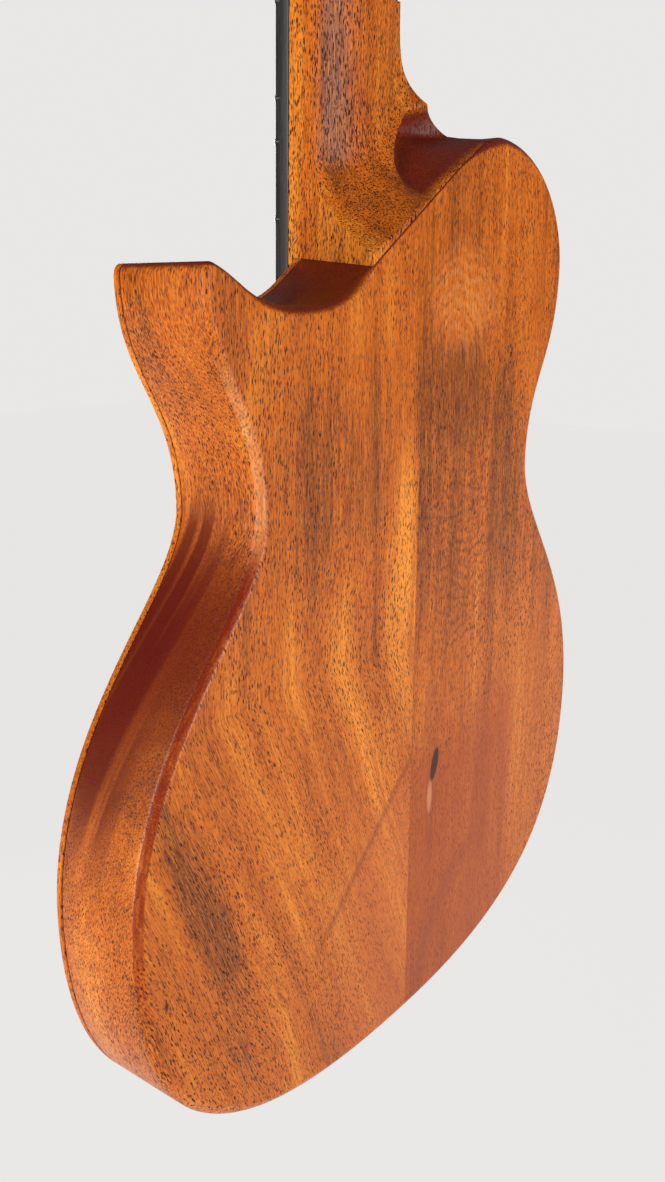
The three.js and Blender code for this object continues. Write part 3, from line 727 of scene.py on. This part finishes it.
class Field:
    """A value that varies over a surface; arithmetic on it adds nodes."""

    def __init__(self, shader, socket):
        self.shader, self.socket = shader, socket

    def __add__(self, other):
        return self.shader.math("ADD", self, other)

    def __sub__(self, other):
        return self.shader.math("SUBTRACT", self, other)

    def __rsub__(self, other):
        return self.shader.math("SUBTRACT", other, self)

    def __mul__(self, other):
        return self.shader.math("MULTIPLY", self, other)

    def __truediv__(self, other):
        return self.shader.math("DIVIDE", self, other)

    def __pow__(self, other):
        return self.shader.math("POWER", self, other)

    __radd__, __rmul__ = __add__, __mul__


class Shader:
    """One material and short ways to fill it. Coordinates are millimetres."""

    def __init__(self, name, roughness=0.5, metallic=0.0, coat=0.0, specular=0.5):
        self.material = bpy.data.materials.new(name)
        self.material.use_nodes = True
        self.tree = self.material.node_tree
        self.bsdf = self.tree.nodes["Principled BSDF"]
        self.bsdf.inputs["Roughness"].default_value = roughness
        self.bsdf.inputs["Metallic"].default_value = metallic
        self.bsdf.inputs["Coat Weight"].default_value = coat
        self.bsdf.inputs["Coat Roughness"].default_value = 0.22
        self.bsdf.inputs["Specular IOR Level"].default_value = specular
        place = self.node("ShaderNodeTexCoord").outputs["Object"]
        axes = self.node("ShaderNodeSeparateXYZ", {0: place}).outputs
        self.x, self.y, self.z = [Field(self, axes[k]) * 1000.0 for k in range(3)]

    def put(self, socket, value):
        value = value.socket if isinstance(value, Field) else value
        if isinstance(value, bpy.types.NodeSocket):
            self.tree.links.new(value, socket)
        else:
            socket.default_value = value

    def node(self, kind, inputs=None, **settings):
        made = self.tree.nodes.new(kind)
        for key, value in settings.items():
            setattr(made, key, value)
        for key, value in (inputs or {}).items():
            self.put(made.inputs[key], value)
        return made

    def math(self, operation, a, b=0.0):
        return Field(self, self.node("ShaderNodeMath", {0: a, 1: b}, operation=operation).outputs[0])

    def vector(self, x, y, z):
        return self.node("ShaderNodeCombineXYZ", {0: x, 1: y, 2: z}).outputs[0]

    def noise(self, x, y, z, detail=2.0, rough=0.5):
        inputs = {"Vector": self.vector(x, y, z), "Scale": 1.0, "Detail": detail, "Roughness": rough}
        return Field(self, self.node("ShaderNodeTexNoise", inputs).outputs[0])

    def cells(self, x, y, z):
        """Distance to the nearest of scattered points."""
        inputs = {"Vector": self.vector(x, y, z), "Scale": 1.0, "Randomness": 1.0}
        return Field(self, self.node("ShaderNodeTexVoronoi", inputs).outputs["Distance"])

    def ramp(self, value, low, high, start=0.0, end=1.0):
        inputs = {0: value, 1: low, 2: high, 3: start, 4: end}
        made = self.node("ShaderNodeMapRange", inputs, interpolation_type="SMOOTHSTEP")
        return Field(self, made.outputs[0])

    def mix(self, share, a, b):
        made = self.node("ShaderNodeMix", data_type="RGBA")
        for socket, value in ((made.inputs[0], share), (made.inputs[6], a), (made.inputs[7], b)):
            self.put(socket, value)
        return made.outputs[2]

    def spot(self, u, v, centre, size, turn=0.0):
        """One inside an ellipse and fading to nothing at its edge; turn is in degrees."""
        c, s = math.cos(math.radians(turn)), math.sin(math.radians(turn))
        du, dv = u - centre[0], v - centre[1]
        across = (du * c + dv * s) / size[0]
        along = (dv * c - du * s) / size[1]
        return self.ramp(across * across + along * along, 1.0, 0.0)

    def colour(self, value):
        self.put(self.bsdf.inputs["Base Color"], value)

    def rough(self, value):
        self.put(self.bsdf.inputs["Roughness"], value)

    def bump(self, height, strength, distance):
        inputs = {"Strength": strength, "Distance": distance * MM, "Height": height}
        normal = self.node("ShaderNodeBump", inputs).outputs[0]
        self.tree.links.new(normal, self.bsdf.inputs["Normal"])


ORANGE = (rgb(100, 30, 0), rgb(180, 80, 6), rgb(234, 140, 40))
PORE = rgb(52, 14, 0)
# Deep red for painted shade on surfaces that face up the neck and in the heel's scoop.
SHADE_RED = rgb(92, 10, 3)


def grain(s, across, depth, along, pore_share=1.0, streak=None):
    """Colour of open-pored wood: three tones in long streaks, fine fibre, and short dark pores."""
    broad = s.noise(across * 0.055, depth * 0.05, along * 0.006, 3.0, 0.55)
    narrow = s.noise(across * 0.5, depth * 0.4, along * 0.012, 3.0, 0.6)
    value = broad * 0.7 + narrow * 0.3
    value = value + streak if streak else value
    tone = s.mix(s.ramp(value, 0.3, 0.5), ORANGE[0], ORANGE[1])
    tone = s.mix(s.ramp(value, 0.48, 0.72), tone, ORANGE[2])
    fibre = s.noise(across * 3.2, depth * 2.5, along * 0.11, 2.0, 0.6)
    tone = s.mix(s.ramp(fibre, 0.35, 0.75), tone, s.mix(0.55, tone, ORANGE[2]))
    tone = s.mix(s.ramp(fibre, 0.5, 0.2) * 0.7, tone, ORANGE[0])
    big = s.ramp(s.cells(across / 0.85, depth / 0.85, along / 3.2), 0.38, 0.2)
    small = s.ramp(s.cells(across / 0.6, depth / 0.6, along / 1.8 + 40.0), 0.42, 0.22)
    patch = s.ramp(s.noise(across * 0.04, depth * 0.04, along * 0.014, 2.0), 0.3, 0.62, 0.6, 1.0)
    pores = (big * 0.85 + small * 0.6) * patch * pore_share
    return s.mix(s.math("MINIMUM", pores, 1.0), tone, PORE), pores, fibre


def painted_top_shade(s, colour):
    """Painted shade: surfaces that face up the neck are mixed towards a deep red, more strongly the more
    they face up.
    """
    normal = s.node("ShaderNodeTexCoord").outputs["Normal"]
    up = Field(s, s.node("ShaderNodeSeparateXYZ", {0: normal}).outputs[2])
    # painted shade on up-facing surfaces
    return s.mix(s.ramp(up, 0.25, 0.7) * 0.88, colour, SHADE_RED)


def painted_edge_shade_and_sheen(s, colour, height):
    """The rounded back edge gets painted shade below the waist and a painted pale sheen at it."""
    normal = s.node("ShaderNodeTexCoord").outputs["Normal"]
    out = Field(s, s.node("ShaderNodeSeparateXYZ", {0: normal}).outputs[1])
    band = s.ramp(out, -0.96, -0.86) * s.ramp(out, -0.3, -0.44)
    # noise that breaks the painted shade and sheen into patches
    patchy = s.ramp(s.noise(height * 0.2, s.y, 0.0), 0.35, 0.6, 0.6, 1.0)
    dark = s.ramp(height, -92.0, -112.0) * s.ramp(height, -246.0, -196.0)
    pale = s.ramp(height, -40.0, -62.0) * s.ramp(height, -112.0, -92.0)
    # painted shade on the rounded edge below the waist, then a painted pale sheen on it at the waist
    colour = s.mix(band * dark * patchy * 0.85, colour, rgb(118, 26, 6))
    return s.mix(band * pale * patchy * 0.3, colour, rgb(232, 172, 120))


def finish_wood(s, colour, pores, fibre, rough=0.36):
    s.colour(colour)
    s.rough(pores * 0.3 + fibre * 0.12 + (rough - 0.06))
    s.bump(fibre * 0.35 - pores, 0.35, 0.12)
    return s.material


def treble_wood():
    """The half on the cutaway's side: slanting streaks low down, a pale band along the seam, and the rib
    painted darker as shade through the waist, in dark streaks.
    """
    s = Shader("mahogany_treble", 0.36, coat=0.02, specular=0.22)
    height = s.z - HEEL_Z
    lean = s.math("MAXIMUM", -150.0 - height, 0.0) * 0.4
    wander = s.noise(s.x * 0.02, s.y * 0.02, height * 0.008) * 14.0
    rib = s.ramp(s.y, -30.0, -14.0)
    across = s.x + s.y * 0.35 - lean + wander
    seam = s.spot(s.x, height, (-6, -135), (22, 80)) * 0.16
    dark = s.spot(s.x, height, (-56, -196), (15, 46), 16) * 0.1
    dark = dark + s.spot(s.x, height, (-104, -235), (16, 80), 18) * 0.1
    dark = dark + s.spot(s.x, height, (-116, -200), (14, 60), 22) * 0.12
    dark = dark + s.spot(s.x, height, (-46, -84), (70, 40), 32) * 0.1
    colour, pores, fibre = grain(s, across, s.y, height, streak=seam - dark)
    wedge = s.ramp(s.x * 0.66 - height, 196.0, 206.0) * s.ramp(s.x, -70.0, -30.0)
    colour = s.mix(wedge * 0.35, colour, rgb(186, 92, 44))
    line = s.ramp(s.math("ABSOLUTE", s.x * 0.95 - height - 198.0), 4.0, 0.0) * s.ramp(s.x, -66.0, -50.0)
    colour = s.mix(line * 0.4, colour, ORANGE[0])
    # Painted shade: the rib is darkened through the waist, with darker streaks inside that band.
    stripe = s.noise((s.y + height * 0.16) * 0.16, 0.0, height * 0.004, 2.0)
    band = s.ramp(height, -84.0, -100.0) * s.ramp(height, -205.0, -170.0) * rib
    stripes = s.ramp(stripe, 0.42, 0.55) * band
    colour = s.mix(band * 0.45, colour, rgb(176, 84, 36))
    colour = s.mix(stripes * 0.8, colour, rgb(86, 16, 2))
    speck = s.spot(s.x, height, (-130, -232), (1.0, 2.0))
    colour = s.mix(speck, colour, rgb(70, 16, 10))
    # painted shade and sheen on the rounded back edge
    colour = painted_edge_shade_and_sheen(s, colour, height)
    # painted shade on surfaces that face up the neck
    return finish_wood(s, painted_top_shade(s, colour), pores, fibre)


def bass_wood():
    """The other half: a pale swirl high up, cathedral grain in the middle, smooth red-brown below."""
    s = Shader("mahogany_bass", 0.36, coat=0.02, specular=0.22)
    height = s.z - HEEL_Z
    wander = s.noise(s.x * 0.02, s.y * 0.02, height * 0.008) * 14.0
    across = s.x + s.y * 0.35 + wander
    low = s.ramp(height, -170.0, -215.0) * s.ramp(s.x, 92.0, 72.0)
    pale = s.spot(s.x, height, (26, -30), (26, 20)) * 0.12
    dark = s.spot(s.x, height, (70, -108), (24, 66), 14) * 0.1
    dark = dark + s.spot(s.x, height, (34, -62), (46, 26)) * 0.08
    colour, pores, fibre = grain(s, across, s.y, height, streak=pale - dark - 0.05)
    middle = s.x - 31.0
    arch = height + middle * middle * -0.012 + s.noise(s.x * 0.09, 0.0, height * 0.07) * 16.0
    rings = s.math("SINE", arch * 1.45) * 0.5 + 0.5
    cathedral = s.spot(s.x, height, (31, -124), (34, 62))
    broken = s.ramp(s.noise(s.x * 0.9, 0.0, height * 0.5), 0.42, 0.6)
    colour = s.mix(rings ** 2.0 * cathedral * broken * 0.8, colour, rgb(96, 36, 8))
    round_about = s.math("SQRT", (s.x - 24.0) ** 2.0 + (height + 52.0) ** 2.0 * 0.7)
    swirl = s.math("SINE", round_about * 1.7 + s.noise(s.x * 0.12, 0.0, height * 0.12) * 16.0) * 0.5 + 0.5
    around = s.spot(s.x, height, (28, -30), (32, 26))
    colour = s.mix(swirl * around * 0.14, colour, rgb(240, 178, 118))
    colour = s.mix(low * 0.6, colour, rgb(150, 58, 12))
    arc = s.math("ABSOLUTE", s.math("SQRT", (s.x - 62.0) ** 2.0 + (height + 305.0) ** 2.0) - 52.0)
    colour = s.mix(s.ramp(arc, 7.0, 0.0) * s.ramp(s.x, 62.0, 40.0) * 0.5, colour, rgb(140, 60, 28))
    knot = s.spot(s.x, height, (17, -207), (3.2, 9), -14)
    tail = s.spot(s.x, height, (14, -220), (2.4, 9))
    colour = s.mix(tail * 0.4, colour, rgb(232, 170, 120))
    colour = s.mix(s.ramp(knot, 0.15, 0.6), colour, rgb(62, 20, 12))
    # painted shade on surfaces that face up the neck
    return finish_wood(s, painted_top_shade(s, colour), pores * (1.0 - low * 0.7), fibre)


def neck_wood():
    """Denser pores than the body's, the treble side painted lighter as light, a painted shade streak on the
    heel's ridge and the scoop painted deep red as shade.
    """
    s = Shader("mahogany_neck", 0.38, coat=0.02, specular=0.22)
    height = s.z - HEEL_Z
    wander = s.noise(s.x * 0.03, s.y * 0.03, height * 0.01) * 8.0
    across = s.x * 1.1 + s.y * 0.4 + wander
    # Painted light and shade: the treble side of the neck is painted lighter, and a streak near x = -17 is
    # painted darker.
    side = s.ramp(s.x, -19.0, -24.0) * 0.14
    dark = s.ramp(s.math("ABSOLUTE", s.x + 17.0), 5.0, 0.0) * s.ramp(height, 0.0, 24.0) * 0.16
    colour, pores, fibre = grain(s, across, s.y, height, 1.7, streak=side - dark - 0.06)
    # Painted shade: the scoop cut into the heel's bass side is painted deep red.
    arc = (s.x * 0.5 - s.x * s.x * 0.0045 + 26.0 - height) * 0.85
    crease = s.x - height * 0.17 - height * height * 0.0145
    scoop = s.ramp(crease, 0.2, 2.6) * s.ramp(arc, 0.3, 3.0)
    behind = s.ramp(height, -2.0, 1.0) * s.ramp(s.y, 1.0, -1.0)
    toe = s.ramp(s.y, -35.6, -31.0)
    colour = s.mix(scoop * behind * toe * 0.88, colour, SHADE_RED)
    return finish_wood(s, colour, pores, fibre, 0.4)


def ebony():
    s = Shader("ebony", 0.42)
    fibre = s.noise(s.x * 2.2, s.y * 2.2, s.z * 0.05, 3.0, 0.6)
    pores = s.ramp(s.cells(s.x / 0.9, s.y / 0.9, s.z / 6.0), 0.2, 0.1)
    colour = s.mix(s.ramp(fibre, 0.45, 0.75), rgb(18, 15, 14), rgb(48, 38, 32))
    s.colour(s.mix(pores * 0.6, colour, rgb(8, 7, 6)))
    s.rough(fibre * 0.2 + 0.3)
    s.bump(fibre * 0.4 - pores, 0.3, 0.08)
    return s.material


def soundboard_wood():
    """Mahogany with inlaid rings round the soundhole."""
    s = Shader("mahogany_top", 0.36, coat=0.02, specular=0.22)
    height = s.z - HEEL_Z
    wander = s.noise(s.x * 0.015, 0.0, height * 0.006) * 10.0
    apart = s.math("ABSOLUTE", s.x) + wander
    colour, pores, fibre = grain(s, apart, s.y, height)
    up = height - SOUNDHOLE_Z
    radius = s.math("SQRT", s.x * s.x + up * up)
    rings = ((33.5, 2.6, rgb(26, 18, 14)), (33.5, 1.7, rgb(206, 160, 100)), (38.6, 0.5, rgb(30, 20, 14)))
    for middle, half, tone in rings:
        inlay = s.ramp(s.math("ABSOLUTE", radius - middle), half + 0.06, half - 0.06)
        colour = s.mix(inlay * s.ramp(s.y, -0.6, -0.3), colour, tone)
    return finish_wood(s, colour, pores, fibre)


def spruce():
    """Bare split spruce of the bracing: straight annual rings and silky fibre."""
    s = Shader("spruce", 0.55)
    bent = s.x + s.noise(s.x * 0.02, 0.0, s.z * 0.02) * 5.0
    ring = (s.math("SINE", (s.y + s.z * 0.2) * 4.0 + bent * 0.1) * 0.5 + 0.5) ** 3.0
    fibre = s.noise(s.x * 0.2, s.y * 4.0, s.z * 4.0, 2.0, 0.6)
    colour = s.mix(ring * 0.6, rgb(226, 196, 142), rgb(180, 126, 66))
    s.colour(s.mix(s.ramp(fibre, 0.35, 0.75) * 0.35, colour, rgb(206, 160, 100)))
    s.rough(fibre * 0.2 + 0.45)
    s.bump(fibre * 0.3 + ring * 0.4, 0.2, 0.05)
    return s.material


def bone():
    s = Shader("bone", 0.34)
    fibre = s.noise(s.x * 1.4, s.y * 0.5, s.z * 3.0, 3.0, 0.6)
    specks = s.ramp(s.cells(s.x / 1.1, s.y / 0.5, s.z / 0.5), 0.16, 0.08)
    colour = s.mix(s.ramp(fibre, 0.35, 0.7), rgb(236, 228, 206), rgb(214, 200, 168))
    s.colour(s.mix(specks * 0.35, colour, rgb(178, 156, 118)))
    s.rough(fibre * 0.2 + 0.24)
    s.bump(fibre, 0.15, 0.05)
    return s.material


def metal(name, light, dark, rough=0.25, brush=(2.0, 2.0, 2.0), strength=0.12):
    """Metal with fine marks along one direction and duller patches."""
    s = Shader(name, rough, metallic=1.0)
    marks = s.noise(s.x * brush[0], s.y * brush[1], s.z * brush[2], 3.0, 0.6)
    patches = s.noise(s.x * 0.25, s.y * 0.25, s.z * 0.25, 3.0)
    s.colour(s.mix(s.ramp(marks * 0.5 + patches * 0.5, 0.35, 0.7), light, dark))
    s.rough(marks * 0.16 + patches * 0.12 + (rough - 0.1))
    s.bump(marks, strength, 0.03)
    return s.material


def wound_string():
    """Fine turns of wire round a core."""
    s = Shader("wound_bronze", 0.3, metallic=1.0)
    turns = s.math("SINE", s.z * 21.0) * 0.5 + 0.5
    wear = s.noise(s.x * 0.4, s.y * 0.4, s.z * 0.06, 2.0)
    colour = s.mix(turns, rgb(122, 86, 50), rgb(206, 162, 106))
    s.colour(s.mix(s.ramp(wear, 0.45, 0.8) * 0.5, colour, rgb(120, 100, 80)))
    s.rough(wear * 0.2 + 0.22)
    s.bump(turns, 0.8, 0.08)
    return s.material


def button_black():
    s = Shader("button_black", 0.2, coat=0.3)
    haze = s.noise(s.x * 0.5, s.y * 0.5, s.z * 0.5, 3.0)
    scuffs = s.noise(s.x * 5.0, s.y * 5.0, s.z * 1.2, 2.0)
    s.colour(s.mix(s.ramp(haze, 0.4, 0.8), rgb(20, 18, 17), rgb(38, 35, 33)))
    s.rough(scuffs * 0.2 + 0.12)
    s.bump(scuffs, 0.08, 0.03)
    return s.material


def all_materials():
    return {
        "body_treble_half": treble_wood(),
        "body_bass_half": bass_wood(),
        "neck": neck_wood(),
        "ebony": ebony(),
        "soundboard": soundboard_wood(),
        "spruce": spruce(),
        "bone": bone(),
        "nickel": metal("nickel_plate", rgb(206, 204, 198), rgb(150, 148, 142), 0.26),
        "steel": metal("turned_steel", rgb(176, 176, 176), rgb(120, 118, 116), 0.34, (0.6, 6.0, 6.0)),
        "fret": metal("fret_wire", rgb(214, 212, 204), rgb(168, 164, 154), 0.2, (0.4, 8.0, 8.0)),
        "brass": metal("machined_brass", rgb(216, 174, 98), rgb(160, 116, 52), 0.3, (1.0, 4.0, 4.0)),
        "string": metal("string_steel", rgb(204, 202, 198), rgb(150, 146, 140), 0.24, (4.0, 4.0, 0.3)),
        "wound": wound_string(),
        "button": button_black(),
    }


# ---- Camera, lights and stage ----
def add_camera():
    """The eye stands close by on the treble side, behind the instrument, level with the heel."""
    yaw, pitch, roll = 0.92152, -0.26485, 0.00639
    eye = Vector((-0.31322, -0.23544, -0.42830))
    look = Vector((math.sin(yaw) * math.cos(pitch), math.cos(yaw) * math.cos(pitch), math.sin(pitch)))
    level = Vector((math.cos(yaw), -math.sin(yaw), 0))
    right = level * math.cos(roll) + level.cross(look) * math.sin(roll)
    up = right.cross(look)
    camera = bpy.data.cameras.new("camera")
    camera.sensor_width = 36
    camera.lens = 36 * 1050 / 1182
    camera.clip_start, camera.clip_end = 0.01, 50
    holder = bpy.data.objects.new("camera", camera)
    bpy.context.collection.objects.link(holder)
    axes = Matrix((right, up, -look)).transposed().to_4x4()
    holder.matrix_world = Matrix.Translation(eye) @ axes
    bpy.context.scene.camera = holder


def softbox(name, place, target, size, power):
    light = bpy.data.lights.new(name, "AREA")
    light.shape = "RECTANGLE"
    light.size, light.size_y = size
    light.energy = power
    holder = bpy.data.objects.new(name, light)
    bpy.context.collection.objects.link(holder)
    holder.location = place
    holder.rotation_euler = (Vector(target) - Vector(place)).to_track_quat("-Z", "Y").to_euler()


def add_stage():
    """A pale floor well below the hanging instrument, the same tone as the surroundings."""
    pale = rgb(232, 231, 229)
    reach, low = 9000, -1500
    corners = [(-reach, -reach, low), (reach, -reach, low), (reach, reach, low), (-reach, reach, low)]
    floor = make("floor", corners, [(0, 1, 2, 3)])
    s = Shader("pale_floor", 0.9, specular=0.1)
    s.bsdf.inputs["Base Color"].default_value = (0.02, 0.02, 0.02, 1)
    s.bsdf.inputs["Emission Color"].default_value = pale
    s.bsdf.inputs["Emission Strength"].default_value = 0.98
    floor.data.materials.append(s.material)
    world = bpy.data.worlds.new("studio")
    bpy.context.scene.world = world
    world.use_nodes = True
    tree = world.node_tree
    output = tree.nodes["World Output"]
    seen = tree.nodes["Background"]
    seen.inputs[0].default_value = pale
    ambient = tree.nodes.new("ShaderNodeBackground")
    ambient.inputs[0].default_value = (0.9, 0.92, 1.0, 1)
    ambient.inputs[1].default_value = 0.13
    path = tree.nodes.new("ShaderNodeLightPath")
    pick = tree.nodes.new("ShaderNodeMixShader")
    tree.links.new(path.outputs["Is Camera Ray"], pick.inputs[0])
    tree.links.new(ambient.outputs[0], pick.inputs[1])
    tree.links.new(seen.outputs[0], pick.inputs[2])
    tree.links.new(pick.outputs[0], output.inputs[0])


def add_lights():
    softbox("left_box", (-1.35, 0.1, -0.35), (0, -0.02, -0.5), (0.5, 1.1), 19)
    softbox("right_box", (0.25, -1.35, -0.35), (0, -0.02, -0.5), (0.5, 1.1), 17)
    softbox("front_box", (0.9, 1.5, -0.5), (0, 0, -0.4), (1.0, 1.0), 22)


def dress_hidden(materials):
    """The pieces inside keep their CAD shapes and get real materials."""
    dress = {"neck_bar": "steel", "bridge_plate": "soundboard"}
    for side in ("treble", "bass"):
        dress["neck_bolt_" + side] = "steel"
        dress["neck_insert_" + side] = "brass"
    for level in ("upper", "lower"):
        dress["brace_" + level] = "spruce"
    for node, kind in dress.items():
        paint(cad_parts[node], materials[kind])


materials = all_materials()
bodies(materials)
neck(materials["neck"])
soundboard(materials["soundboard"])
fingerboard(materials["ebony"])
for number in range(1, len(FRET_STEPS) + 1):
    fret(number, materials["fret"])
nut(materials["bone"])
bridge(materials["ebony"], materials["bone"])
overlay(materials["ebony"])
for number in range(1, len(TUNERS) + 1):
    tuner(number, materials)
    string(number, materials)
dress_hidden(materials)
add_camera()
add_stage()
add_lights()
bpy.context.scene.view_settings.view_transform = "Standard"
